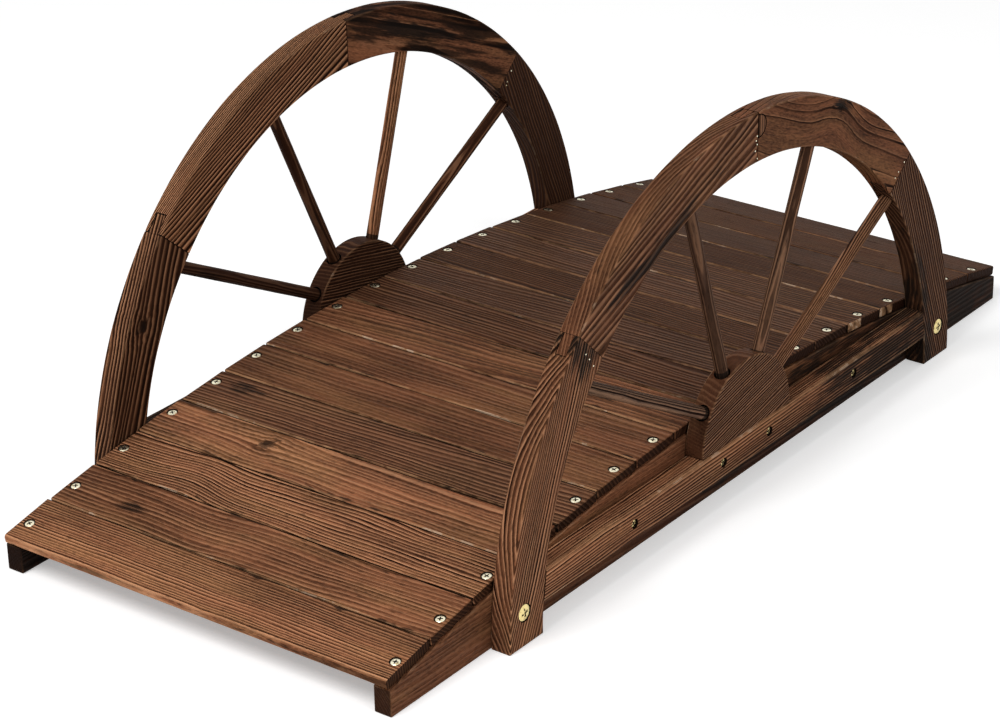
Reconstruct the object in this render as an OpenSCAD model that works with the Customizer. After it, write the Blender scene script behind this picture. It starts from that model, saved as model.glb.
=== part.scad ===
// Ornamental garden bridge with half-wheel rails.
// A low arched deck of planks lies on two sawn stringers. Each side carries a half wheel: a rim of
// four felloes, a half-round hub standing on a bottom beam, and four dowel spokes between them.
// +X runs along the walkway, +Y is the left side and +Z is up.
// The origin is on the ground, under the middle of the deck.

/* [Deck] */
// Number of deck boards
board_count = 17; // [9:1:25]
// Length of a deck board, across the walkway
board_l = 432; // [300:1:600]
// Thickness of a deck board
board_t = 10; // [8:0.5:18]
// Gap between neighbouring boards
board_gap = 1.5; // [0.5:0.25:4]
// Flat planed along each upper edge of a board
board_arris = 1.5; // [0.5:0.25:3]
// How far the deck runs past each end of the stringers
deck_overhang = 2; // [0:0.25:15]

/* [Stringers] */
// Length of a stringer
stringer_l = 1000; // [850:5:1300]
// Thickness of a stringer
stringer_t = 18; // [14:1:30]
// Height of a stringer at its ends
stringer_end_h = 25.5; // [18:0.5:40]
// Rise of a stringer's top from its ends to its middle
stringer_rise = 54.5; // [40:0.5:80]
// How far a stringer's outer face stands past the ends of the boards
stringer_reveal = 1; // [0:0.25:4]

/* [Rim] */
// Outer radius of the rim, about the origin
rim_r = 367; // [320:1:410]
// Depth of the rim, from its outer to its inner curve
rim_w = 47; // [38:1:60]
// Thickness of the rim and of the bottom beam
rail_t = 21; // [17:0.5:30]
// Places of the three joints between the felloes, in degrees up from the foot at the right, seen from outside
felloe_joints = [41, 89, 136]; // [30:0.5:150]
// Length of the tongue in a felloe joint
tongue_l = 18; // [12:0.5:22]
// Thickness of the tongue
tongue_t = 10; // [6:0.5:14]
// Step from the curves of the rim down to the tongue
tongue_step = 0.4; // [0.2:0.1:1]
// Flat planed along the edges of the rim, the beam and the hub
rail_arris = 2; // [0.5:0.25:4]

/* [Beam and hub] */
// Height of the beam's underside above the ground
beam_z = 29; // [15:0.5:40]
// Depth of the beam
beam_h = 31; // [22:0.5:40]
// Radius of the half-round hub
hub_r = 73; // [60:0.5:90]
// Thickness of the hub
hub_t = 20; // [16:0.5:28]
// How far the hub stands to the right of the rim's centre, seen from outside
hub_shift = -3; // [-10:0.5:10]

/* [Spokes] */
// Diameter of a spoke
spoke_d = 12.5; // [8:0.5:14]
// Places of the spokes along the rim, in degrees up from the right foot, seen from outside
spoke_rim_angles = [38.5, 70.5, 106, 141]; // [25:0.5:155]
// Places of the spokes around the hub, in degrees about the hub's centre
spoke_hub_angles = [32.5, 65, 113, 146.5]; // [20:0.5:160]
// Depth of a spoke's socket in the rim
rim_socket = 14; // [8:0.5:20]
// Depth of a spoke's socket in the hub
hub_socket = 18; // [10:0.5:24]

/* [Fits] */
// Clearance around a spoke in its sockets
spoke_clear = 0.2; // [0.1:0.05:0.4]
// Clearance around the tongue of a felloe joint
joint_clear = 0.15; // [0.05:0.05:0.4]
// Clearance where a piece lies against a curve
seat_clear = 0.1; // [0.05:0.05:0.3]

/* [Hidden] */
$fn = 180;
// Overrun of a cut past the face that it opens
over = 1;
sides = ["right", "left"];

// Stringers and deck
stringer_mid_h = stringer_end_h + stringer_rise;
stringer_face = board_l / 2 + stringer_reveal;
deck_r = (pow(stringer_l / 2, 2) + pow(stringer_rise, 2)) / (2 * stringer_rise);
deck_half_angle = asin(stringer_l / 2 / deck_r) + to_degrees(deck_overhang, deck_r);
board_pitch_angle = 2 * deck_half_angle / board_count;
board_w = 2 * deck_r * tan(board_pitch_angle / 2) - board_gap;

// Half-wheel rails
rim_ir = rim_r - rim_w;
rim_mid_r = rim_r - rim_w / 2;
felloe_ends = concat([0], felloe_joints, [180]);
felloe_count = len(felloe_ends) - 1;
beam_top = beam_z + beam_h;
hub_centre = [hub_shift, beam_top];
spoke_count = len(spoke_rim_angles);

function board_name(i) = str("deck_board_", i < 10 ? "0" : "", i);

// Angle that an arc of the given length takes up at the given radius
function to_degrees(arc, radius) = arc / radius * 180 / PI;

// Point at a radius and an angle
function polar(radius, angle) = radius * [cos(angle), sin(angle)];

// Where a spoke leaves the hub and where it meets the rim
function spoke_foot(i) = hub_centre + polar(hub_r, spoke_hub_angles[i - 1]);
function spoke_head(i) = polar(rim_ir, spoke_rim_angles[i - 1]);
function spoke_run(i) = spoke_head(i) - spoke_foot(i);

// Rectangle with its corners planed off
module eased_rectangle(w, h, arris) {
    polygon([
        [arris, 0], [w - arris, 0], [w, arris], [w, h - arris],
        [w - arris, h], [arris, h], [0, h - arris], [0, arris]
    ]);
}

// Turns a piece made for the right side half round for the left side
module on_side(side) {
    rotate([0, 0, side == "left" ? 180 : 0])
        children();
}

// Stands a rail's own plane up: X along the bridge, Y upwards, Z outwards from the stringer's face
module on_rail(side) {
    on_side(side)
        translate([0, -stringer_face, 0])
            rotate([90, 0, 0])
                children();
}

// Runs along a spoke's axis in the rail's plane, with X from the hub towards the rim
module along_spoke(i) {
    run = spoke_run(i);
    translate([spoke_foot(i).x, spoke_foot(i).y, rail_t / 2])
        rotate([0, 0, atan2(run.y, run.x)])
            children();
}

// Round bar along X, from one place to another
module bar(from, to, d) {
    translate([from, 0, 0])
        rotate([0, 90, 0])
            cylinder(h = to - from, d = d);
}

// Sockets of all the spokes at their rim ends
module rim_sockets() {
    for (i = [1 : spoke_count])
        along_spoke(i)
            bar(norm(spoke_run(i)) / 2, norm(spoke_run(i)) + rim_socket + spoke_clear, spoke_d + 2 * spoke_clear);
}

// Sockets of all the spokes at their hub ends
module hub_sockets() {
    for (i = [1 : spoke_count])
        along_spoke(i)
            bar(-hub_socket - spoke_clear, hub_r / 2, spoke_d + 2 * spoke_clear);
}

// Flat plank that lies on the stringers' arc
module deck_board(i) {
    angle = (i - (board_count + 1) / 2) * board_pitch_angle;
    color("saddlebrown")
        translate([0, 0, stringer_mid_h - deck_r])
            rotate([0, angle, 0])
                translate([0, board_l / 2, deck_r + seat_clear])
                    rotate([90, 0, 0])
                        linear_extrude(height = board_l)
                            board_section();
}

// Cross-section of a board, with its two upper edges planed off
module board_section() {
    half = board_w / 2;
    polygon([
        [-half, 0], [half, 0], [half, board_t - board_arris],
        [half - board_arris, board_t], [board_arris - half, board_t], [-half, board_t - board_arris]
    ]);
}

// Board on edge with a flat foot, upright ends and an arched top
module stringer(side) {
    color("#4a2c1a")
        on_side(side)
            translate([0, stringer_t - stringer_face, 0])
                rotate([90, 0, 0])
                    linear_extrude(height = stringer_t)
                        intersection() {
                            translate([-stringer_l / 2, 0])
                                square([stringer_l, stringer_mid_h]);
                            translate([0, stringer_mid_h - deck_r])
                                circle(r = deck_r);
                        }
}

// Curved length of the rim, with a tongue at its far end and a slot at its near end
module felloe(side, i) {
    from = felloe_ends[i - 1];
    to = felloe_ends[i];
    color("sienna")
        on_rail(side)
            difference() {
                union() {
                    rotate_extrude(angle = to - from, start = from)
                        translate([rim_ir, 0])
                            eased_rectangle(rim_w, rail_t, rail_arris);
                    if (i < felloe_count)
                        tongue(to);
                }
                if (i > 1)
                    tongue_slot(from);
                rim_sockets();
            }
}

// Tongue that reaches past a joint into the next felloe, rooted a little way into its own
module tongue(joint) {
    root = to_degrees(over, rim_mid_r);
    rotate_extrude(angle = root + to_degrees(tongue_l, rim_mid_r), start = joint - root)
        translate([rim_ir + tongue_step, (rail_t - tongue_t) / 2])
            square([rim_w - 2 * tongue_step, tongue_t]);
}

// Slot that takes the tongue of the felloe before
module tongue_slot(joint) {
    root = to_degrees(over, rim_mid_r);
    slot_t = tongue_t + 2 * joint_clear;
    rotate_extrude(angle = root + to_degrees(tongue_l + joint_clear, rim_mid_r), start = joint - root)
        translate([rim_ir - over, (rail_t - slot_t) / 2])
            square([rim_w + 2 * over, slot_t]);
}

// Bar between the two legs of a rim, with its ends coped to the rim's inner curve
module beam(side) {
    color("#3d2414")
        on_rail(side)
            intersection() {
                translate([-rim_ir, beam_z, 0])
                    rotate([90, 0, 90])
                        linear_extrude(height = 2 * rim_ir)
                            eased_rectangle(beam_h, rail_t, rail_arris);
                translate([0, 0, -over])
                    cylinder(h = rail_t + 2 * over, r = rim_ir - seat_clear);
            }
}

// Half-round block that stands on the beam and holds the feet of the spokes
module hub(side) {
    color("#5a3620")
        on_rail(side)
            difference() {
                translate([hub_centre.x, hub_centre.y, 0])
                    rotate_extrude(angle = 180)
                        polygon([
                            [0, 0], [hub_r - rail_arris, 0], [hub_r, rail_arris],
                            [hub_r, hub_t - rail_arris], [hub_r - rail_arris, hub_t], [0, hub_t]
                        ]);
                hub_sockets();
            }
}

// Dowel from its socket in the hub to its socket in the rim
module spoke(side, i) {
    color("#462818")
        on_rail(side)
            along_spoke(i)
                bar(-hub_socket, norm(spoke_run(i)) + rim_socket, spoke_d);
}

for (i = [1 : board_count])
    deck_board(i);
for (side = sides) {
    stringer(side);
    beam(side);
    hub(side);
    for (i = [1 : felloe_count])
        felloe(side, i);
    for (i = [1 : spoke_count])
        spoke(side, i);
}
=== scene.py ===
"""Garden bridge with half-wheel rails, dressed in Blender around its CAD frame.

A low arched deck of planks lies on two stringers, and each side carries a half wheel: a rim of four
felloes, a half-round hub on a bottom beam, and four dowel spokes. All of it is charred, brushed fir.
Sizes are in millimetres, as in the CAD source, and a finished mesh is scaled to metres once.
"""

from __future__ import annotations

import logging
import math
import random
from dataclasses import dataclass, field
from enum import Enum
from typing import Iterable, Sequence

import bmesh
import bpy
from bmesh.types import BMEdge, BMesh, BMFace, BMVert
from mathutils import Matrix, Vector, noise

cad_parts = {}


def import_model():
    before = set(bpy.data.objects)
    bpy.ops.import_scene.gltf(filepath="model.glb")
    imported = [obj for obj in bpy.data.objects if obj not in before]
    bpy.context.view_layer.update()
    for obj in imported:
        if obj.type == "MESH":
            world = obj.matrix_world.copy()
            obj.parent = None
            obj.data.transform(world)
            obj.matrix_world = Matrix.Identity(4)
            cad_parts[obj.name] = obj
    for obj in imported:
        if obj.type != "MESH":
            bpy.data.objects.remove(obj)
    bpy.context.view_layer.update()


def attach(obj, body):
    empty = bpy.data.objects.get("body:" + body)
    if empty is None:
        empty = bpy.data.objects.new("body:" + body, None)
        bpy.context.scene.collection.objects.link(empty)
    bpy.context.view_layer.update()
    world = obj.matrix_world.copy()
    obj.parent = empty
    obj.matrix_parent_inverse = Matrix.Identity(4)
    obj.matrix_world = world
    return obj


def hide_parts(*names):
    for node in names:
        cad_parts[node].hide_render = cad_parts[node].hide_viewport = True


LOG = logging.getLogger("garden_bridge")
MM = 0.001
BODY = "root"
X_AXIS = Vector((1.0, 0.0, 0.0))
Y_AXIS = Vector((0.0, 1.0, 0.0))
Z_AXIS = Vector((0.0, 0.0, 1.0))
OPAQUE = 1.0
WHITE = (1.0, 1.0, 1.0, OPAQUE)
LOOKED_AT = ("Is Camera Ray", "Is Glossy Ray", "Is Transmission Ray")
HALF = 0.5
QUARTER_TURN = math.pi / 2.0

# Lengths below which two places count as the same, in mm.
SAME = 1e-3
ON_PLANE = 1e-4

# Mark of a face darkened with soot, on burnt joints and as painted shade in holes and gaps, and least angles of the
# corners that are eased, in degrees.
SOOT_AND_SHADE = -1.0
BLUNT = 45.0
SQUARE = 60.0

# Outputs of the Noise Texture, Attribute, Mix and Texture Coordinate nodes, by place.
AS_COLOUR = 1
AS_VECTOR = 1
AS_VALUE = 2
MIXED_COLOUR = 2
OF_OBJECT = 3


class Side(Enum):
    """Side of the bridge; the left side is the right one turned half round."""

    RIGHT = "right"
    LEFT = "left"

    @property
    def turn(self) -> Matrix:
        """Turn that takes a piece made for the right side to this side."""
        return Matrix.Rotation(math.pi if self is Side.LEFT else 0.0, 4, "Z")


class Cut(Enum):
    """How a plank was sawn from the log: where its middle lies from the pith (across, through), in mm."""

    RIFT = (118.0, 104.0)
    QUARTER = (160.0, 16.0)
    SLAB = (80.0, 150.0)
    CROWN = (-25.0, 45.0)


def linear(colour: str) -> tuple[float, float, float, float]:
    """Turn a hexadecimal sRGB colour into the linear colour that a shader socket takes.

    Args:
        colour: colour as "#rrggbb".

    Returns:
        Red, green, blue and alpha.
    """
    channels = [int(colour[start:start + 2], 16) / 255.0 for start in (1, 3, 5)]
    curve = [c / 12.92 if c <= 0.04045 else ((c + 0.055) / 1.055) ** 2.4 for c in channels]
    return (curve[0], curve[1], curve[2], OPAQUE)


class Signal:
    """One socket of a shader tree that takes part in Python arithmetic."""

    def __init__(self, graph: "Graph", socket: bpy.types.NodeSocket) -> None:
        """Wrap a socket of a graph."""
        self.graph = graph
        self.socket = socket

    def _math(self, operation: str, *terms: "Signal | float") -> "Signal":
        """Add a Math node on the given terms."""
        return self.graph.node("ShaderNodeMath", {"operation": operation}, dict(enumerate(terms)))

    def __add__(self, other: "Signal | float") -> "Signal":
        """Sum of two values."""
        return self._math("ADD", self, other)

    __radd__ = __add__

    def __sub__(self, other: "Signal | float") -> "Signal":
        """Difference of two values."""
        return self._math("SUBTRACT", self, other)

    def __rsub__(self, other: float) -> "Signal":
        """Difference, with the value on the right."""
        return self._math("SUBTRACT", other, self)

    def __mul__(self, other: "Signal | float") -> "Signal":
        """Product of two values."""
        return self._math("MULTIPLY", self, other)

    __rmul__ = __mul__

    def __truediv__(self, other: "Signal | float") -> "Signal":
        """Quotient of two values."""
        return self._math("DIVIDE", self, other)

    def __rtruediv__(self, other: float) -> "Signal":
        """Quotient, with the value below the line."""
        return self._math("DIVIDE", other, self)

    def __pow__(self, other: "Signal | float") -> "Signal":
        """Power of a value."""
        return self._math("POWER", self, other)

    def __mod__(self, other: "Signal | float") -> "Signal":
        """Rest of a division, never negative."""
        return self._math("FLOORED_MODULO", self, other)

    def floor(self) -> "Signal":
        """Whole part of a value."""
        return self._math("FLOOR", self)

    def swing(self, size: float | Signal) -> "Signal":
        """Turn a noise into a swing about 0, with the given full size."""
        return (self - HALF) * size

    def parts(self) -> tuple["Signal", "Signal", "Signal"]:
        """Split a vector or colour into its three values.

        Returns:
            The three values.
        """
        first = self.graph.node("ShaderNodeSeparateXYZ", {}, {0: self})
        outputs = first.socket.node.outputs
        return first, Signal(self.graph, outputs[1]), Signal(self.graph, outputs[2])


class Graph:
    """Node tree of one material or world, and the one way in which nodes are added to it."""

    def __init__(self, owner: bpy.types.Material | bpy.types.World) -> None:
        """Empty the node tree of a material or world.

        Args:
            owner: the material or world.
        """
        self.owner = owner
        self.owner.use_nodes = True
        self.tree = self.owner.node_tree
        self.tree.nodes.clear()

    @classmethod
    def material(cls, name: str) -> "Graph":
        """Start an empty material of the given name."""
        return cls(bpy.data.materials.new(name))

    def node(self, kind: str, settings: dict | None = None, sockets: dict | None = None,
             out: int = 0) -> Signal:
        """Add a node.

        Args:
            kind: type name of the node.
            settings: properties of the node, set before its sockets.
            sockets: a value or a Signal for each input, by name or place.
            out: place of the output that is returned.

        Returns:
            The chosen output.
        """
        made = self.tree.nodes.new(kind)
        for key, value in (settings or {}).items():
            setattr(made, key, value)
        for key, value in (sockets or {}).items():
            if isinstance(value, Signal):
                self.tree.links.new(value.socket, made.inputs[key])
            else:
                made.inputs[key].default_value = value
        return Signal(self, made.outputs[out])

    def attribute(self, name: str, out: int = AS_VECTOR) -> Signal:
        """Read an attribute of the piece, as a vector unless another output is asked for."""
        return self.node("ShaderNodeAttribute", {"attribute_name": name}, {}, out)

    def scaled(self, vector: Signal, scale: Sequence[float]) -> Signal:
        """Multiply a vector by a scale for each axis."""
        return self.node("ShaderNodeVectorMath", {"operation": "MULTIPLY"}, {0: vector, 1: tuple(scale)})

    def noise(self, place: Signal, size: Sequence[float], detail: float = 2.0, out: int = 0) -> Signal:
        """Add a noise whose grains have the given size.

        Args:
            place: coordinates.
            size: size of a grain along each axis, in the coordinates' unit.
            detail: number of finer octaves.
            out: 0 for one value, 1 for three of them as a colour.

        Returns:
            Noise from 0 to 1.
        """
        vector = self.scaled(place, [1.0 / s for s in size])
        return self.node("ShaderNodeTexNoise", {}, {"Vector": vector, "Scale": 1.0, "Detail": detail}, out)

    def step(self, value: Signal, low: float | Signal, high: float | Signal) -> Signal:
        """Rise smoothly from 0 at low to 1 at high."""
        return self.node("ShaderNodeMapRange", {"interpolation_type": "SMOOTHSTEP"},
                         {"Value": value, "From Min": low, "From Max": high})

    def fall(self, value: Signal, low: float | Signal, high: float | Signal) -> Signal:
        """Fall smoothly from 1 at low to 0 at high."""
        return 1.0 - self.step(value, low, high)

    def band(self, value: Signal, rise: tuple[float, float], drop: tuple[float, float]) -> Signal:
        """Rise smoothly from 0 to 1 over one stretch, and fall back over another."""
        return self.step(value, *rise) * self.fall(value, *drop)

    def mix(self, share: Signal, first: Signal | str, second: Signal | str) -> Signal:
        """Mix two colours.

        Args:
            share: share of the second colour, from 0 to 1.
            first: colour at 0, as a signal or as "#rrggbb".
            second: colour at 1, likewise.

        Returns:
            The mixed colour.
        """
        first, second = (linear(c) if isinstance(c, str) else c for c in (first, second))
        settings = {"data_type": "RGBA", "clamp_factor": True}
        return self.node("ShaderNodeMix", settings, {0: share, 6: first, 7: second}, MIXED_COLOUR)

    def bump(self, height: Signal, relief: float, strength: float = 1.0) -> Signal:
        """Turn a height into a bumped normal, with the relief in mm."""
        return self.node("ShaderNodeBump", {},
                         {"Strength": strength, "Distance": relief * MM, "Height": height})

    def white(self, kind: str, strength: float) -> Signal:
        """Add a white shader of the given kind and strength."""
        return self.node(kind, {}, {"Color": WHITE, "Strength": strength})

    def either(self, share: Signal, first: Signal, second: Signal) -> Signal:
        """Mix two shaders by the share of the second."""
        return self.node("ShaderNodeMixShader", {}, {0: share, 1: first, 2: second})

    def seen(self, *kinds: str) -> Signal:
        """Add up the given outputs of a Light Path node: 1 for such rays, 0 for others.

        Args:
            kinds: names of the outputs.

        Returns:
            The sum.
        """
        outputs = self.node("ShaderNodeLightPath").socket.node.outputs
        total = Signal(self, outputs[kinds[0]])
        for kind in kinds[1:]:
            total = total + Signal(self, outputs[kind])
        return total

    def output(self, surface: Signal) -> bpy.types.Material | bpy.types.World:
        """Send a shader to the tree's output and return the tree's owner.

        Args:
            surface: the shader.

        Returns:
            The material or world.
        """
        made_for = "World" if isinstance(self.owner, bpy.types.World) else "Material"
        end = self.tree.nodes.new(f"ShaderNodeOutput{made_for}")
        self.tree.links.new(surface.socket, end.inputs["Surface"])
        return self.owner


@dataclass(frozen=True)
class CharredFir:
    """Flamed and brushed fir: growth rings as ridges and dark grooves, soot and worn arrises.

    Attributes:
        name: name of the material.
        pale: ground colour of the palest planks.
        golden: the same where the flame left it yellower.
        ridge_highlight: colour of the painted highlight along the brushed ridges.
        dark: ground colour of the darkest planks.
        groove: colour at the bottom of the grooves between two ridges.
        soot: colour of what the brush left of the char, also laid on as painted shade in holes, gaps and sockets.
        ash: colour of wood that greyed under the flame.
        worn: colour of an arris where the finish is rubbed off.
        chipped: colour of the bare wood in a chip.
        relief: height of the brushed ridges, in mm.
        rough: roughness of the ground.
        gloss: specular level of the oiled surface.
    """

    # Sizes of the noises' grains along, across and through the plank, in mm.
    PATCH = (9.0, 6.0, 6.0)
    SWAY = (170.0, 48.0, 48.0)
    RIPPLE = (60.0, 14.0, 14.0)
    FIBRE = (24.0, 0.7, 0.7)
    SPECK = (5.0, 1.5, 1.5)
    CRUST = (30.0, 7.0, 7.0)
    PITS = (11.0, 1.3, 1.3)
    STREAK = (170.0, 2.6, 2.6)
    CLOUD = (120.0, 24.0, 24.0)
    SMOKE = (80.0, 11.0, 11.0)
    # Square of a knot's reach into the rings, in mm2, and the share of the lines lost on end grain.
    KNOT_SIZE = 70.0
    END_CALM = 0.6

    name: str
    pale: str = "#b1724f"
    golden: str = "#b68055"
    ridge_highlight: str = "#cf9770"
    dark: str = "#2f1a10"
    groove: str = "#1a0c06"
    soot: str = "#15100d"
    ash: str = "#584a40"
    worn: str = "#b98c66"
    chipped: str = "#dcc3aa"
    relief: float = 1.0
    rough: float = 0.56
    gloss: float = 0.025

    def material(self) -> bpy.types.Material:
        """Make the material from the attributes that a piece of timber carries.

        Returns:
            The material.
        """
        graph = Graph.material(self.name)
        grain = graph.attribute("grain")
        width, light, char = graph.attribute("cast").parts()
        contrast, ridged, wear = graph.attribute("brush").parts()
        wander, ash, closed = graph.attribute("lay").parts()
        stain_along, stain_across, brink = graph.attribute("stain_and_shade").parts()
        arris, end, calm = (graph.attribute(name, AS_VALUE) for name in ("arris", "end", "calm"))

        # A knot, uneven at its rim, pushes the rings aside.
        patch_along, patch_across, chip = graph.noise(grain, self.PATCH, 2.0, AS_COLOUR).parts()
        knot_along, knot_across, knot_through = graph.attribute("knot").parts()
        knot_along = knot_along * 0.85 + patch_along.swing(22.0)
        knot_across = knot_across * 0.85 + patch_across.swing(14.0)
        knot_through = knot_through * 0.3
        reach = knot_along * knot_along + knot_across * knot_across + knot_through * knot_through

        # Each ring has a number, a place from 0 to 1 within it, and its own luck.
        sway_across, sway_through, _ = graph.noise(grain, self.SWAY, 1.0, AS_COLOUR).parts()
        ripple = graph.noise(grain, self.RIPPLE, 1.5)
        _, across, through = grain.parts()
        across = across + sway_across.swing(wander) + ripple.swing(3.0)
        across = across - knot_across * (self.KNOT_SIZE / (reach + self.KNOT_SIZE))
        through = through + sway_through.swing(wander)
        radius = (across * across + through * through) ** HALF
        one_way = {"noise_dimensions": "1D"}
        uneven = graph.node("ShaderNodeTexNoise", one_way,
                            {"W": radius * 0.11, "Scale": 1.0, "Detail": 1.0})
        turns = radius / width + uneven * 0.9
        within = turns % 1.0
        luck = graph.node("ShaderNodeTexWhiteNoise", one_way, {"W": turns.floor()})
        varied = 0.55 + 0.45 * luck

        fibre = graph.noise(grain, self.FIBRE)
        speck = graph.noise(grain, self.SPECK, 1.0)
        crust = graph.noise(grain, self.CRUST)
        pits = graph.step(graph.noise(grain, self.PITS, 1.0), 0.62, 0.72)
        streak = graph.noise(grain, self.STREAK)
        cloud, hue, _ = graph.noise(grain, self.CLOUD, 3.0, AS_COLOUR).parts()
        fade, smoke, rubbing = graph.noise(grain, self.SMOKE, 4.0, AS_COLOUR).parts()

        # Ridged planks have grooves and painted highlights along their crests, the others broad smouldered bands with
        # a painted glint beside each line.
        groove = graph.band(within, (0.51, 0.61), (0.92, 0.99))
        ridge_highlight = graph.band(within, (0.06, 0.24), (0.42, 0.54))
        onset = 0.88 - 0.7 * char * (0.3 + 1.2 * luck)
        smoulder = 0.15 * graph.step(within, onset - HALF, onset)
        smoulder = smoulder + 0.85 * graph.step(within, onset, onset + 0.1)
        smoulder = smoulder * graph.fall(within, 0.96, 0.995)
        glint = 0.4 * graph.fall(within, 0.0, 0.16)
        plain = (1.0 - end * self.END_CALM) * (1.0 - calm)
        keen = contrast * (0.62 + 0.38 * graph.step(fade, 0.34, 0.6)) * plain
        lines = keen * (ridged * groove * varied + (1.0 - ridged) * smoulder)
        lights = keen * varied * (ridged * ridge_highlight + (1.0 - ridged) * glint)

        # The finish in layers: ground, painted highlights, lines, char, knot, end grain, worn arrises, and soot for
        # burnt joints and painted shade.
        mottle = 0.62 + 0.76 * graph.step(cloud, 0.32, 0.68) + streak.swing(0.8)
        mottle = mottle + fibre.swing(1.4) + speck.swing(1.6)
        pale = graph.mix(graph.step(hue, 0.42, 0.66) * 0.7, self.pale, self.golden)
        ground = graph.mix(light * mottle, self.dark, pale)
        # Painted highlight: the crest colour is laid on beside each groove and each smouldered line.
        highlighted = graph.mix(lights * (0.28 + light * 0.9), ground, self.ridge_highlight)
        greyed = graph.mix(ash, highlighted, self.ash)
        pitted = graph.mix(pits * 0.5, greyed, self.groove)
        lined = graph.mix(lines * 0.94, pitted, self.groove)
        # The dark patch: a charred stain on most pieces, painted shade on the stringers.
        spread = stain_along * stain_along + stain_across * stain_across
        spread = spread + smoke.swing(3.0) + crust.swing(3.0) + fibre.swing(2.0)
        stained_and_shaded = graph.fall(spread, 0.1, 1.1) * (0.92 - 0.12 * ridged * ridge_highlight)
        blackened = graph.mix(stained_and_shaded, lined, self.soot)
        flakes = crust + 0.19 * graph.step(brink * brink, 0.5, 1.0) - 0.2 * (HALF - char)
        flaked = graph.mix(graph.step(flakes, 0.72, 0.80) * 0.8, blackened, self.soot)
        sooty = graph.step(smoke + streak.swing(0.3), 0.80 - 0.4 * char, 0.96 - 0.4 * char)
        charred = graph.mix(sooty * (0.85 - 0.4 * ridged * ridge_highlight), flaked, self.soot)
        heart = graph.fall(reach + fibre.swing(160.0), 10.0, 90.0)
        knotted = graph.mix(heart * 0.75, charred, self.soot)
        ended = graph.mix(end * closed * (0.95 - 0.1 * ridge_highlight), knotted, self.groove)
        bare = rubbing + chip.swing(0.5) + (arris - 1.0) * 0.3
        rub = graph.step(arris, 0.05, 1.0) * wear * graph.step(bare, 0.30, 0.62)
        rubbed = graph.mix(rub * 0.75, ended, self.worn)
        chips = graph.step(arris, 0.96, 1.0) * wear * graph.step(bare, 0.62, 0.70)
        flecked = graph.mix(chips * 0.6, rubbed, self.chipped)
        # Marks below 0 paint soot: on burnt joints, and as painted shade in holes, board gaps and spoke sockets.
        colour = graph.mix((0.0 - arris) * 0.95, flecked, self.soot)

        roughness = self.rough + lines * 0.2 + sooty * 0.2 - rub * 0.08 + fibre.swing(0.16)
        ridge = graph.band(within, (0.0, 0.36), (0.56, 0.74))
        ridge = ridged * ridge * (0.4 + 0.6 * contrast) * plain
        height = ridge + fibre.swing(0.3) + streak.swing(0.4) - heart * 0.6
        surface = graph.node("ShaderNodeBsdfPrincipled", {}, {
            "Base Color": colour, "Roughness": roughness, "Normal": graph.bump(height, self.relief),
            "Specular IOR Level": self.gloss})
        return graph.output(surface)


@dataclass(frozen=True)
class PlatedBrass:
    """Pale brass plate on a screw head, with a fine tarnish and painted shade in the recess.

    Attributes:
        name: name of the material.
        bright: colour of the clean plate.
        tarnish: colour of the dull spots.
        recess_shade: colour of the painted shade in the recess.
        rough: roughness of the clean plate.
    """

    name: str = "plated_brass"
    bright: str = "#f3ecd0"
    tarnish: str = "#b39c66"
    recess_shade: str = "#1c1610"
    rough: float = 0.32

    def material(self) -> bpy.types.Material:
        """Make the material from Object coordinates and the mark of the recess.

        Returns:
            The material.
        """
        graph = Graph.material(self.name)
        place = graph.node("ShaderNodeTexCoord", {}, {}, OF_OBJECT)
        recess_shade = graph.attribute("recess_shade", AS_VALUE)
        spots = graph.step(graph.noise(place, (2.4 * MM,) * 3, 3.0), 0.5, 0.75)
        scratch = graph.noise(place, (0.3 * MM, 1.8 * MM, 1.8 * MM))
        plate = graph.mix(spots, self.bright, self.tarnish)
        # Painted shade darkens the recess, which is also less metallic and rougher.
        colour = graph.mix(recess_shade, plate, self.recess_shade)
        surface = graph.node("ShaderNodeBsdfPrincipled", {}, {
            "Base Color": colour, "Metallic": 1.0 - recess_shade * 0.8,
            "Roughness": self.rough + spots * 0.2 + recess_shade * 0.4, "Normal": graph.bump(scratch, 0.05, 0.4)})
        return graph.output(surface)


@dataclass(frozen=True)
class StudioFloor:
    """White floor that keeps shadows, lifted to white for what looks at it directly.

    Attributes:
        name: name of the material.
        paint: colour of the floor.
        scuffed: colour of its faint uneven patches.
        lift: light added where the camera or a reflection sees the floor.
        shade: half length and half width of the floor under the deck, which isn't lifted, in metres.
        near: distance from which the floor turns into a white backdrop, in metres.
        far: distance at which it is white.
    """

    name: str = "studio_floor"
    paint: str = "#f4f4f4"
    scuffed: str = "#f2f2f2"
    lift: float = 0.34
    shade: tuple[float, float] = (0.44, 0.18)
    near: float = 1.0
    far: float = 2.6

    def material(self) -> bpy.types.Material:
        """Make the material with a faint unevenness in the paint.

        Returns:
            The material.
        """
        graph = Graph.material(self.name)
        place = graph.node("ShaderNodeTexCoord", {}, {}, OF_OBJECT)
        mottle = graph.noise(place, (0.4, 0.4, 0.4))
        paint = graph.node("ShaderNodeBsdfPrincipled", {}, {
            "Base Color": graph.mix(mottle, self.paint, self.scuffed), "Roughness": 1.0,
            "Specular IOR Level": 0.0})
        glow, white = (graph.white("ShaderNodeEmission", power) for power in (self.lift, 1.0))
        lifted = graph.node("ShaderNodeAddShader", {}, {0: paint, 1: glow})
        along, across, _ = place.parts()
        along, across = along * along, across * across
        half_length, half_width = (half ** 2 for half in self.shade)
        under = graph.fall(along, half_length * 0.8, half_length)
        under = under * graph.fall(across, half_width * 0.7, half_width)
        distant = graph.step(along + across, self.near ** 2, self.far ** 2)
        seen = graph.seen(*LOOKED_AT)
        beside = graph.either(seen * (1.0 - under), paint, lifted)
        return graph.output(graph.either(seen * distant, beside, white))


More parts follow.
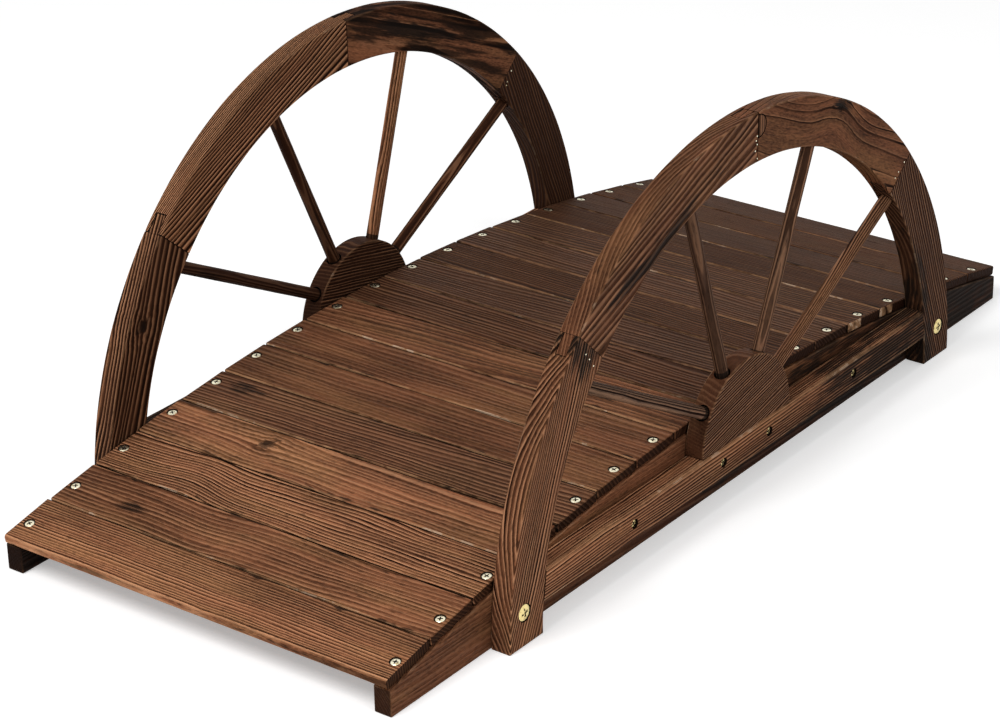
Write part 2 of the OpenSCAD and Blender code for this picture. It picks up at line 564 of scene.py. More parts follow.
@dataclass(frozen=True)
class Figure:
    """How the rings of one plank lie, and how dark its finish came out.

    Attributes:
        cut: way the plank was sawn from the log.
        ring: width of a growth ring, in mm.
        light: 0 for the darkest tone of the finish, 1 for the palest.
        char: 0 for a clean face, 1 for a sooty one.
        contrast: strength of the lines, from 0 to 1.
        ridged: 1 for narrow ridges and grooves, 0 for broad smouldered bands.
        wear: how far the arrises are rubbed, from 0 to 1.
        wander: how far the rings stray from true circles, in mm.
        ash: share of grey in the ground, from 0 to 1.
        fade: change of the tone along, across and through the plank, per mm; on the stringers and the beams it paints
            shade towards their lower edges.
        lean: rise of the pith along the plank (across, through), in mm per mm.
        knot: place of a knot from the plank's middle (along, across), in mm, or None.
        pinch: where the rings shift towards the outer edge (along, half width, shift), in mm, or None.
        stain_and_shade: dark patch (along, across, half length, half width), in mm, or None: a charred stain on most
            pieces, painted shade on the stringers.
        closed: how far the end grain took the char, from 0 to 1.
        calm: share of the lines that is lost on the faces square to the plank's own.
    """

    cut: Cut = Cut.RIFT
    ring: float = 4.4
    light: float = 0.3
    char: float = 0.3
    contrast: float = 0.8
    ridged: float = 1.0
    wear: float = 0.7
    wander: float = 9.0
    ash: float = 0.0
    fade: tuple[float, float, float] = (0.0, 0.0, 0.0)
    lean: tuple[float, float] = (0.0, 0.0)
    knot: tuple[float, float] | None = None
    pinch: tuple[float, float, float] | None = None
    stain_and_shade: tuple[float, float, float, float] | None = None
    closed: float = 1.0
    calm: float = 0.0


@dataclass
class Timber:
    """One wooden piece while it is shaped, in millimetres, in its own frame.

    Attributes:
        name: name of the finished piece.
        node: CAD node that the piece stands for, or None.
        slot: material slot of the record; not used.
        figure: lie of the rings and tone.
        along: direction of the grain.
        across: direction across the grain, in the plank's face.
        centre: middle of the plank that the piece was sawn from.
        brink: half width across, towards whose edges the finish flakes darker, in mm, or None.
        mesh: the mesh being shaped.
    """

    # Where a piece's missing knot or stain lies, and the log's length, in mm.
    FAR_OFF = 4000.0
    LOG_LENGTH = 9000.0
    # Least and most of the factor by which a piece's pith lies off its cut's place.
    PITH_SPREAD = (0.85, 1.2)
    SHARP = math.radians(14.0)
    BORE_SIDES = 36

    name: str
    node: str | None
    slot: str
    figure: Figure
    along: Vector
    across: Vector
    centre: Vector = field(default_factory=Vector)
    brink: float | None = None
    mesh: BMesh = field(default_factory=bmesh.new)

    def __post_init__(self) -> None:
        """Give the mesh the mark of its worn arrises."""
        self.mesh.faces.layers.float.new("arris")

    @property
    def marks(self) -> bmesh.types.BMLayerItem:
        """Layer that says how far each face is rubbed, or darkened with soot on burnt joints and as painted shade."""
        return self.mesh.faces.layers.float["arris"]

    def geometry(self) -> list:
        """All vertices, edges and faces of the mesh."""
        return [*self.mesh.verts, *self.mesh.edges, *self.mesh.faces]

    def split(self, point: Vector, normal: Vector, faces: Sequence[BMFace] | None = None) -> None:
        """Cut faces along a plane, and keep both sides.

        Args:
            point: point of the plane.
            normal: normal of the plane.
            faces: faces to cut, or None for all of them.
        """
        chosen = self.mesh.faces[:] if faces is None else faces
        bmesh.ops.bisect_plane(self.mesh, geom=region(chosen), dist=ON_PLANE, plane_co=point,
                               plane_no=normal)

    def slice(self, axis: Vector, cuts: int, filled: bool = True) -> None:
        """Cut the edges that run along an axis into equal lengths.

        Args:
            axis: direction of the edges.
            cuts: number of cuts in each edge.
            filled: True where the cuts run across the faces too.
        """
        chosen = [e for e in self.mesh.edges if runs_along(e, axis)]
        bmesh.ops.subdivide_edges(self.mesh, edges=chosen, cuts=cuts, use_grid_fill=filled)

    def ease(self, edges: Iterable[BMEdge], width: float, segments: int = 3, worn: float = 1.0) -> None:
        """Round edges over and mark the new faces as worn arrises.

        Args:
            edges: edges to round.
            width: width taken off each side of an edge.
            segments: number of faces over the rounding.
            worn: how far the new faces are rubbed, from 0 to 1, or darkened with soot, down to -1, for burnt joints
                and for painted shade.
        """
        result = bmesh.ops.bevel(self.mesh, geom=list(edges), offset=width, offset_type="OFFSET",
                                 affect="EDGES", segments=segments, profile=0.5, material=-1,
                                 clamp_overlap=True)
        layer = self.marks
        for face in result["faces"]:
            face[layer] = worn

    def corners(self, angle: float) -> list[BMEdge]:
        """Edges whose two faces meet at more than the given angle, in degrees."""
        limit = math.radians(angle)
        return [e for e in self.mesh.edges if e.is_manifold and e.calc_face_angle(0.0) > limit]

    def bore(self, runs: Iterable[tuple[Vector, Vector]], width: float) -> None:
        """Bore round holes into the piece.

        Args:
            runs: the two ends of each hole's axis.
            width: diameter of the holes.
        """
        tool = bmesh.new()
        for start, stop in runs:
            bmesh.ops.create_cone(tool, cap_ends=True, segments=self.BORE_SIDES,
                                  radius1=width / 2.0, radius2=width / 2.0,
                                  depth=(stop - start).length, matrix=between(start, stop))
        self.carve(tool)

    def carve(self, tool: BMesh) -> None:
        """Cut a shape out of the piece, paint shade on the walls of the cut, and free the shape.

        Args:
            tool: closed shape to cut out, in the piece's frame.
        """
        if not tool.faces:
            tool.free()
            return
        # The walls of each hole and pocket are painted soot-dark as shade.
        shaded_walls = tool.faces.layers.float.new("arris")
        for face in tool.faces:
            face[shaded_walls] = SOOT_AND_SHADE
        bench = []
        for shape in (self.mesh, tool):
            data = bpy.data.meshes.new("workpiece")
            shape.to_mesh(data)
            bench.append(add_object("workpiece", data))
        tool.free()
        modifier = bench[0].modifiers.new("carve", "BOOLEAN")
        modifier.operation = "DIFFERENCE"
        modifier.solver = "EXACT"
        modifier.object = bench[1]
        depsgraph = bpy.context.evaluated_depsgraph_get()
        carved = bpy.data.meshes.new_from_object(bench[0].evaluated_get(depsgraph))
        self.mesh.clear()
        self.mesh.from_mesh(carved)
        for spare in bench:
            data = spare.data
            bpy.data.objects.remove(spare)
            bpy.data.meshes.remove(data)
        bpy.data.meshes.remove(carved)

    def weather(self, depth: float = 0.3, wave: float = 22.0) -> None:
        """Wear the surface back unevenly.

        Args:
            depth: most that is worn away, in mm.
            wave: length of the unevenness, in mm.
        """
        self.mesh.normal_update()
        start = Vector((random.Random(self.name).uniform(0.0, 900.0), 0.0, 0.0))
        moves = [(v, v.normal * depth * HALF * (noise.noise((v.co + start) / wave) - 1.0))
                 for v in self.mesh.verts]
        for vert, move in moves:
            vert.co += move

    def write_grain(self) -> None:
        """Write the attributes that the wood's material reads."""
        figure = self.figure
        dice = random.Random(self.name)
        shift = dice.uniform(0.0, self.LOG_LENGTH)
        pith_across, pith_through = figure.cut.value
        hand = dice.choice((-1.0, 1.0))
        pith_across *= dice.uniform(*self.PITH_SPREAD) * (1.0 if figure.cut is Cut.CROWN else hand)
        pith_through *= dice.uniform(*self.PITH_SPREAD)
        through = self.along.cross(self.across)
        layers = self.mesh.verts.layers.float_vector
        names = ("grain", "knot", "cast", "brush", "lay", "stain_and_shade")
        grain, knot, cast, brush, lay, stain_and_shade = (layers.new(name) for name in names)
        for vert in self.mesh.verts:
            place = vert.co - self.centre
            a, b, c = place.dot(self.along), place.dot(self.across), place.dot(through)
            pull = 0.0
            if figure.pinch is not None:
                where, half_width, shove = figure.pinch
                pull = shove * math.exp(-((a - where) / half_width) ** 2)
            vert[grain] = (a + shift, b + pull + pith_across + figure.lean[0] * a,
                           c + pith_through + figure.lean[1] * a)
            tone = figure.light + Vector(figure.fade).dot(Vector((a, b, c)))
            vert[cast] = (figure.ring, tone, figure.char)
            vert[brush] = (figure.contrast, figure.ridged, figure.wear)
            vert[lay] = (figure.wander, figure.ash, figure.closed)
            vert[knot] = (self.FAR_OFF, self.FAR_OFF, self.FAR_OFF)
            if figure.knot is not None:
                vert[knot] = (a - figure.knot[0], b - figure.knot[1], c)
            edge = 0.0 if self.brink is None else b / self.brink
            vert[stain_and_shade] = (self.FAR_OFF, self.FAR_OFF, edge)
            if figure.stain_and_shade is not None:
                along, across, half_length, half_width = figure.stain_and_shade
                vert[stain_and_shade] = ((a - along) / half_length, (b - across) / half_width, edge)
        end = self.mesh.faces.layers.float.new("end")
        calm = self.mesh.faces.layers.float.new("calm")
        for face in self.mesh.faces:
            square = abs(face.normal.dot(self.along))
            face[end] = min(1.0, max(0.0, (square - 0.6) / 0.3))
            face[calm] = figure.calm * (1.0 - face.normal.dot(through) ** 2)

    def finish(self, placement: Matrix, material: bpy.types.Material) -> bpy.types.Object:
        """Set the piece in the bridge.

        Args:
            placement: from the piece's frame to the bridge's, in mm.
            material: the wood's material.

        Returns:
            The finished object.
        """
        face_outwards(self.mesh)
        self.write_grain()
        bmesh.ops.transform(self.mesh, matrix=placement, verts=self.mesh.verts[:])
        piece = hand_over(self.mesh, self.name, material, self.SHARP)
        if self.node is not None:
            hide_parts(self.node)
        return piece


def add_object(name: str, data: bpy.types.ID) -> bpy.types.Object:
    """Add an object with the given data to the scene.

    Args:
        name: name of the object.
        data: its mesh, lamp or camera.

    Returns:
        The object.
    """
    made = bpy.data.objects.new(name, data)
    bpy.context.scene.collection.objects.link(made)
    return made


def runs_along(edge: BMEdge, axis: Vector, least: float = 1.0) -> bool:
    """Tell whether an edge reaches further along an axis than the given length, in mm."""
    return abs((edge.verts[0].co - edge.verts[1].co).dot(axis)) > least


def angle_of(point: Vector) -> float:
    """Angle of a point about the Z axis, in radians."""
    return math.atan2(point.y, point.x)


def between(start: Vector, stop: Vector) -> Matrix:
    """Place halfway between two points, with its Z axis along the line from the first to the second."""
    turn = (stop - start).to_track_quat("Z", "Y").to_matrix().to_4x4()
    return Matrix.Translation((start + stop) * HALF) @ turn


def region(faces: Sequence[BMFace]) -> list:
    """Faces with all their edges and vertices."""
    around = dict.fromkeys(part for f in faces for part in (*f.edges, *f.verts))
    return [*faces, *around]


def face_outwards(mesh: BMesh) -> None:
    """Turn the faces of a closed mesh outwards."""
    bmesh.ops.recalc_face_normals(mesh, faces=mesh.faces[:])


def hand_over(mesh: BMesh, name: str, material: bpy.types.Material,
              sharp: float) -> bpy.types.Object:
    """Turn a shaped mesh in millimetres into a piece of the bridge, and free it.

    Args:
        mesh: shaped mesh, in the bridge's frame.
        name: name of the piece.
        material: material of the piece.
        sharp: angle from which an edge stays sharp, in radians.

    Returns:
        The object, at the origin, riding on the bridge.
    """
    bmesh.ops.transform(mesh, matrix=Matrix.Scale(MM, 4), verts=mesh.verts[:])
    data = bpy.data.meshes.new(name)
    mesh.to_mesh(data)
    mesh.free()
    data.shade_smooth()
    data.set_sharp_from_angle(angle=sharp)
    data.materials.append(material)
    piece = add_object(name, data)
    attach(piece, BODY)
    LOG.info("%s: %d faces", name, len(data.polygons))
    return piece


def extrude(mesh: BMesh, faces: Sequence[BMFace]) -> list[BMVert]:
    """Extrude faces in place.

    Args:
        mesh: mesh of the faces.
        faces: faces to extrude.

    Returns:
        The new vertices, to be moved.
    """
    grown = bmesh.ops.extrude_face_region(mesh, geom=region(faces))["geom"]
    return [v for v in grown if isinstance(v, BMVert)]


def create_box(mesh: BMesh, low: Vector, high: Vector) -> None:
    """Add a box between two corners to a mesh."""
    matrix = Matrix.Translation((low + high) * HALF) @ Matrix.Diagonal((*(high - low), 1.0))
    bmesh.ops.create_cube(mesh, size=1.0, matrix=matrix)


@dataclass
class CrossHead:
    """Screw head with a cross recess.

    Attributes:
        radius: radius of the head.
        dome: rise of the head's middle above its rim.
        edge: height of the head's rim.
        sink: depth of the cone below the rim.
        reach: half length of a recess arm.
        arm: half width of a recess arm.
        recess: depth of the recess.
    """

    SHARP = math.radians(28.0)
    # Fields along a side of the first grid, then shares: flat top and shank of the radius, recess floor.
    GRID = 5
    FLAT = 0.9
    SHANK = 0.45
    BOTTOM = 0.55

    radius: float = 4.3
    dome: float = 0.3
    edge: float = 0.4
    sink: float = 2.0
    reach: float = 2.5
    arm: float = 0.66
    recess: float = 1.8

    def mesh(self) -> bpy.types.Mesh:
        """Shape one head, its rim's top at height 0 and its middle on +Z.

        Returns:
            The mesh, to be placed many times.
        """
        shape = bmesh.new()
        recess_shade = shape.faces.layers.float.new("recess_shade")
        bmesh.ops.create_grid(shape, x_segments=self.GRID, y_segments=self.GRID, size=1.0)
        lines = {1: self.arm, 3: self.reach, self.GRID: self.radius * self.FLAT}
        for vert in shape.verts:
            for axis in (0, 1):
                line = lines[round(abs(vert.co[axis]) * self.GRID)]
                vert.co[axis] = math.copysign(line, vert.co[axis])
        for vert in shape.verts:
            if vert.is_boundary:
                vert.co = vert.co.normalized() * self.radius * self.FLAT
        middles = {f: f.calc_center_median() for f in shape.faces}
        cross = [f for f, m in middles.items()
                 if min(abs(m.x), abs(m.y)) < 0.01 and m.length < self.reach]
        whole = set(shape.faces) - set(cross)
        floor = extrude(shape, cross)
        # The faces of the cross recess are marked for painted shade.
        for face in set(shape.faces) - whole:
            face[recess_shade] = 1.0
        bmesh.ops.scale(shape, vec=(self.BOTTOM, self.BOTTOM, 1.0), verts=floor)
        bmesh.ops.translate(shape, vec=(0.0, 0.0, -self.recess), verts=floor)
        for width, drop in ((self.radius, self.edge * HALF), (self.radius, self.edge),
                            (self.radius * self.SHANK, self.edge + self.sink)):
            rim = [e for e in shape.edges if e.is_boundary]
            grown = bmesh.ops.extrude_edge_only(shape, edges=rim)["geom"]
            for vert in (v for v in grown if isinstance(v, BMVert)):
                flat = vert.co.xy.normalized() * width
                vert.co = Vector((flat.x, flat.y, -drop))
        bmesh.ops.holes_fill(shape, edges=[e for e in shape.edges if e.is_boundary], sides=0)
        for vert in shape.verts:
            vert.co.z += self.dome * max(0.0, 1.0 - (vert.co.xy.length / self.radius) ** 2)
        face_outwards(shape)
        data = bpy.data.meshes.new("screw_head")
        shape.to_mesh(data)
        shape.free()
        return data


def set_screws(name: str, head: CrossHead, places: Iterable[Matrix], material: bpy.types.Material) -> bpy.types.Object:
    """Set a row of screw heads as one piece, each turned its own way.

    Args:
        name: name of the piece.
        head: the screw head.
        places: place of each head, with the face's normal as Z, in mm.
        material: material of the heads.

    Returns:
        The finished object.
    """
    dice = random.Random(name)
    template = head.mesh()
    joined = bmesh.new()
    for place in places:
        before = len(joined.verts)
        joined.from_mesh(template)
        joined.verts.ensure_lookup_table()
        twist = place @ Matrix.Rotation(dice.uniform(0.0, math.pi), 4, "Z")
        bmesh.ops.transform(joined, matrix=twist, verts=joined.verts[before:])
    bpy.data.meshes.remove(template)
    return hand_over(joined, name, material, head.SHARP)


@dataclass
class Deck:
    """Seventeen planks on the stringers' arc, each held by one screw at each side.

    Attributes:
        wood: finish of the planks.
        brass: material of the screws.
        board_arris: width of the rounding along a board's edges.
        nosing: width of the larger rounding on the first board's front edge.
        overhang: how far the first and last boards pass the stringers' ends.
        seat: gap between a board and the stringers.
        screw_reach: distance of a screw from the bridge's middle line.
        screw_shifts: place of the screws across each board, from the front board to the last.
        chipped_ends: numbers of the boards whose right end is bare at its front corner.
        chip_edge: place across the board up to which such an end is bare.
        nosing_wear: how far the nosing is rubbed, and so on for chips, front and rear edges.
        gap_shade: how dark a board's upright sides are painted, as shade in the gaps between boards, down to -1.
    """

    wood: bpy.types.Material
    brass: bpy.types.Material
    board_count: int = 17
    board_length: float = 432.0
    board_thick: float = 10.0
    board_gap: float = 1.5
    board_arris: float = 1.9
    nosing: float = 3.6
    overhang: float = 2.0
    seat: float = 0.1
    stringer_length: float = 1000.0
    stringer_rise: float = 54.5
    stringer_middle: float = 80.0
    screw_reach: float = 206.5
    screw_shifts: tuple[float, ...] = (-5.0, -4.0, 1.0, 8.0, 10.0, 8.0, 9.0, 9.0, 8.0, 7.5, 6.0, 4.5, 2.0,
                                       0.0, 0.5, -6.0, -6.5)
    cuts: int = 36
    chipped_ends: tuple[int, ...] = (13, 14)
    chip_edge: float = -6.0
    nosing_wear: float = 0.55
    chip_wear: float = 1.2
    front_wear: float = 1.0
    rear_wear: float = 0.4
    gap_shade: float = -0.9
    screw_sunk: float = 0.7
    weathering: tuple[float, float] = (0.35, 14.0)

    @property
    def radius(self) -> float:
        """Radius of the stringers' arc."""
        return (self.stringer_length ** 2 / 4.0 + self.stringer_rise ** 2) / (2.0 * self.stringer_rise)

    @property
    def pitch(self) -> float:
        """Angle from one board to the next, in radians."""
        half = math.asin(self.stringer_length / 2.0 / self.radius) + self.overhang / self.radius
        return 2.0 * half / self.board_count

    @property
    def board_width(self) -> float:
        """Width of a board."""
        return 2.0 * self.radius * math.tan(self.pitch / 2.0) - self.board_gap

    def figures(self) -> list[Figure]:
        """Figure of each board, from the front end to the back.

        Returns:
            One figure for each board.
        """
        chosen = [
            Figure(Cut.QUARTER, 3.0, 0.48, 0.14, 0.95, wear=0.8, wander=4.0, fade=(0.0, -0.006, 0.0)),
            Figure(Cut.RIFT, 3.4, 0.36, 0.46, 0.75, lean=(0.02, 0.0), fade=(-0.0003, 0.0, 0.0), wander=11.0,
                   pinch=(60.0, 40.0, 5.0), stain_and_shade=(137.0, -5.0, 18.0, 9.0)),
            Figure(Cut.RIFT, 2.9, 0.54, 0.34, 1.25, wander=11.0, pinch=(110.0, 34.0, -6.0)),
            Figure(Cut.RIFT, 4.0, 0.56, 0.36, 0.75, lean=(0.0, 0.02), knot=(90.0, 7.0), wander=9.0),
            Figure(Cut.RIFT, 3.75, 0.22, 0.40, 0.95, ash=0.08, wear=1.0, lean=(0.03, 0.0), wander=9.0,
                   stain_and_shade=(178.0, 12.0, 34.0, 14.0)),
            Figure(Cut.RIFT, 4.4, 0.26, 0.24, 0.45, lean=(0.015, 0.03), wear=1.0, wander=8.0),
            Figure(Cut.RIFT, 4.6, 0.28, 0.18, 0.45, wear=0.9, wander=8.0),
            Figure(Cut.RIFT, 5.0, 0.25, 0.20, 0.45, wear=0.9, lean=(0.0, 0.05), wander=9.0,
                   stain_and_shade=(-120.0, -2.0, 36.0, 11.0)),
        ]
        dice = random.Random("boards")
        while len(chosen) < self.board_count:
            cut = dice.choice((Cut.RIFT, Cut.QUARTER, Cut.RIFT))
            lean = (dice.uniform(-0.02, 0.02), dice.uniform(-0.05, 0.05))
            wear = 0.6 if len(chosen) + 1 in self.chipped_ends else 0.4
            tone = [dice.uniform(*span) for span in ((3.0, 4.2), (0.05, 0.15), (0.25, 0.5), (0.5, 0.9))]
            chosen.append(Figure(cut, *tone, ash=dice.uniform(0.0, 0.2), lean=lean, wear=wear))
        return chosen

    def placement(self, index: int) -> Matrix:
        """Place of a board, from its own frame with the underside at height 0.

        Args:
            index: number of the board from the front, from 0.

        Returns:
            Matrix in mm.
        """
        angle = (index - (self.board_count - 1) / 2.0) * self.pitch
        centre = Matrix.Translation((0.0, 0.0, self.stringer_middle - self.radius))
        lift = Matrix.Translation((0.0, 0.0, self.radius + self.seat))
        return centre @ Matrix.Rotation(angle, 4, "Y") @ lift

    def board(self, index: int, figure: Figure) -> bpy.types.Object:
        """Build one board with eased edges and two countersunk holes.

        Args:
            index: number of the board from the front, from 0.
            figure: lie of its rings and tone.

        Returns:
            The finished object.
        """
        number = f"{index + 1:02d}"
        dice = random.Random(f"board {number}")
        timber = Timber(f"plank_{number}", f"deck_board_{number}", "deck_wood", figure, Y_AXIS, X_AXIS,
                        Vector((0.0, 0.0, self.board_thick / 2.0)), brink=self.board_width / 2.0)
        half_width = self.board_width / 2.0 - dice.uniform(0.0, 0.25)
        ends = [self.board_length / 2.0 - dice.uniform(0.0, 1.3) for _ in range(2)]
        low = Vector((-half_width, -ends[0], 0.0))
        high = Vector((half_width, ends[1], self.board_thick))
        create_box(timber.mesh, low, high)
        timber.slice(Y_AXIS, self.cuts)
        first, chipped = index == 0, index + 1 in self.chipped_ends
        if first:
            nose = [e for e in timber.mesh.edges if self.on_outline(e, low, high) and runs_along(e, Y_AXIS)
                    and all(abs(v.co.x - low.x) < SAME for v in e.verts)]
            timber.ease(nose, self.nosing, 5)
        outline = [e for e in timber.mesh.edges if self.on_outline(e, low, high)]
        timber.ease(outline, self.board_arris, worn=0.0)
        if chipped:
            timber.split(X_AXIS * self.chip_edge, X_AXIS)
        self.rub_edges(timber, first, chipped)
        for reach in (-self.screw_reach, self.screw_reach):
            self.countersink(timber, Vector((self.screw_shifts[index], reach, self.board_thick)))
        timber.weather(*self.weathering)
        return timber.finish(self.placement(index), self.wood)

    def rub_edges(self, timber: Timber, first: bool, chipped: bool) -> None:
        """Mark the upper long edges of a board as worn, and paint shade on its upright sides.

        Args:
            timber: the board.
            first: True for the first board, whose nosing is worn all over.
            chipped: True for a board whose right end is bare at its front corner.
        """
        layer = timber.marks
        timber.mesh.normal_update()
        for face in timber.mesh.faces:
            middle, normal = face.calc_center_median(), face.normal
            tilted = 0.2 < normal.z < 0.96 and abs(normal.y) < 0.2
            on_edge = abs(middle.x) > self.board_width / 2.0 - self.board_arris - 0.3
            if first and normal.x < -0.25:
                face[layer] = self.nosing_wear
            elif chipped and normal.y < -0.5 and middle.x < self.chip_edge:
                face[layer] = self.chip_wear
            elif tilted and on_edge:
                face[layer] = self.front_wear if middle.x < 0.0 else self.rear_wear
            # The upright sides face the gaps between boards and are painted dark as shade.
            elif abs(normal.x) > 0.9:
                face[layer] = self.gap_shade
            else:
                face[layer] = 0.0

    @staticmethod
    def on_outline(edge: BMEdge, low: Vector, high: Vector) -> bool:
        """Tell whether an edge lies on one of the twelve edges of a box.

        Args:
            edge: edge to test.
            low: lowest corner of the box.
            high: highest corner of the box.

        Returns:
            True where both ends lie on two sides of the box.
        """
        limits = 0
        for axis in range(3):
            for limit in (low[axis], high[axis]):
                limits += all(abs(v.co[axis] - limit) < SAME for v in edge.verts)
        return limits >= 2

    @staticmethod
    def countersink(timber: Timber, centre: Vector, radius: float = 5.4, depth: float = 3.6) -> None:
        """Sink a conical hole into the upper face of a board, its walls painted dark as shade.

        Args:
            timber: the board.
            centre: middle of the hole, in the upper face.
            radius: radius of the hole's mouth.
            depth: depth of the hole.
        """
        reach = radius * 0.8
        for axis in (X_AXIS, Y_AXIS):
            for side in (-reach, reach):
                timber.split(centre + axis * side, axis)
        patches = [f for f in timber.mesh.faces
                   if f.normal.z > 0.9 and (f.calc_center_median() - centre).length < reach]
        patch = bmesh.utils.face_join(patches, True) if len(patches) > 1 else patches[0]
        bmesh.ops.bisect_edges(timber.mesh, edges=patch.edges[:], cuts=3)
        for vert in patch.verts:
            vert.co = centre + (vert.co - centre).normalized() * radius
        layer = timber.marks
        whole = set(timber.mesh.faces) - {patch}
        floor = extrude(timber.mesh, [patch])
        # The hole's walls are painted dark as shade.
        for face in set(timber.mesh.faces) - whole:
            face[layer] = SOOT_AND_SHADE
        bmesh.ops.scale(timber.mesh, vec=(HALF, HALF, 1.0), verts=floor, space=Matrix.Translation(-centre))
        bmesh.ops.translate(timber.mesh, vec=(0.0, 0.0, -depth), verts=floor)

    def build(self) -> list[bpy.types.Object]:
        """Build all boards and their screws.

        Returns:
            The finished objects.
        """
        pieces = [self.board(i, figure) for i, figure in enumerate(self.figures())]
        for side, sign in ((Side.RIGHT, -1.0), (Side.LEFT, 1.0)):
            places = []
            for index, shift in enumerate(self.screw_shifts):
                spot = (shift, sign * self.screw_reach, self.board_thick - self.screw_sunk)
                places.append(self.placement(index) @ Matrix.Translation(spot))
            pieces.append(set_screws(f"deck_screws_{side.value}", CrossHead(), places, self.brass))
        return pieces


@dataclass
class Stringer:
    """Board on edge with a flat foot and an arched top, under one side of the deck.

    Attributes:
        side: side of the bridge.
        wood: material of the board.
    """

    side: Side
    wood: bpy.types.Material
    length: float = 1000.0
    thick: float = 18.0
    middle: float = 80.0
    face: float = 217.0
    arc: float = 2320.8
    arris: float = 1.2
    cuts: int = 39

    def build(self) -> bpy.types.Object:
        """Build the stringer.

        Returns:
            The finished object.
        """
        name = self.side.value
        # The fade and the stain paint shade over the dark finish: the stringer grows darker towards its foot, under
        # the beam, and towards one end.
        figure = Figure(Cut.RIFT, 3.0, 0.11, 0.45, 0.22, lean=(0.01, 0.02), wear=0.1, wander=5.0,
                        fade=(-0.0004, 0.003, 0.0), stain_and_shade=(360.0, -6.0, 420.0, 60.0), closed=0.88)
        timber = Timber(f"arched_stringer_{name}", f"{name}_stringer", "stringer_wood", figure, X_AXIS,
                        Z_AXIS, Vector((0.0, -self.face + self.thick / 2.0, self.middle / 2.0)))
        low = Vector((-self.length / 2.0, -self.face, 0.0))
        high = Vector((self.length / 2.0, self.thick - self.face, self.middle))
        create_box(timber.mesh, low, high)
        timber.slice(X_AXIS, self.cuts)
        for vert in timber.mesh.verts:
            if vert.co.z > self.middle / 2.0:
                vert.co.z = math.sqrt(self.arc ** 2 - vert.co.x ** 2) + self.middle - self.arc
        timber.ease(timber.corners(BLUNT), self.arris)
        return timber.finish(self.side.turn, self.wood)


